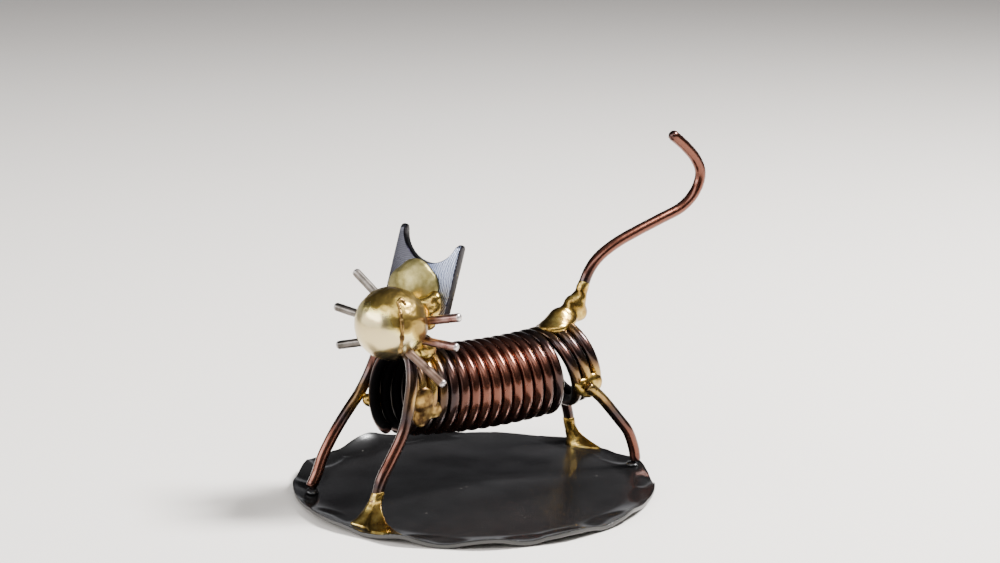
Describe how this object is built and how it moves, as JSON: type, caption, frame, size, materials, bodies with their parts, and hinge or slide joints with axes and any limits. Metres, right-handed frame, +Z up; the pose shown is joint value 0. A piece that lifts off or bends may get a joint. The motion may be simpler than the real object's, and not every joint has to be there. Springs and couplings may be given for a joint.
{
  "type": "wire cat figurine",
  "caption": "Standing cat figurine of coiled and bent copper-coloured wire, with a ball head, notched ear plate and rod whiskers, brazed on a beaten black steel disc.",
  "frame": {"origin": "centre of the disc's flat underside, on the surface that the figurine stands on", "axes": "+Z up, -Y the way the cat faces, +X to the cat's left"},
  "size_m": [0.0982, 0.1297, 0.0924],
  "materials": {
    "copper_wire": "polished, copper plated and darkened by heat",
    "braze": "bright, lumpy braze metal",
    "ball": "polished steel with a thin wash of brass",
    "ear_steel": "blued steel with grinding marks",
    "black_steel": "beaten steel, blackened and waxed",
    "rod_steel": "bright steel rod with a copper tint"
  },
  "bodies": {
    "root": {"base_disc": "black_steel", "body_coil": "copper_wire", "front_left_leg": "copper_wire", "front_right_leg": "copper_wire", "rear_left_leg": "copper_wire", "rear_right_leg": "copper_wire", "tail": "copper_wire", "head_ball": "ball", "ear_plate": "ear_steel", "whisker_left_upper": "rod_steel", "whisker_left_middle": "rod_steel", "whisker_left_lower": "rod_steel", "whisker_right_upper": "rod_steel", "whisker_right_middle": "rod_steel", "whisker_right_lower": "rod_steel", "face_bead": "braze", "head_braze": "braze", "neck_braze": "braze", "tail_braze": "braze", "left_shoulder_braze": "braze", "right_shoulder_braze": "braze", "left_haunch_braze": "braze", "right_haunch_braze": "braze", "front_left_foot_braze": "braze", "rear_right_foot_braze": "braze", "front_right_foot_weld": "black_steel", "rear_left_foot_weld": "black_steel"}
  },
  "joints": []
}
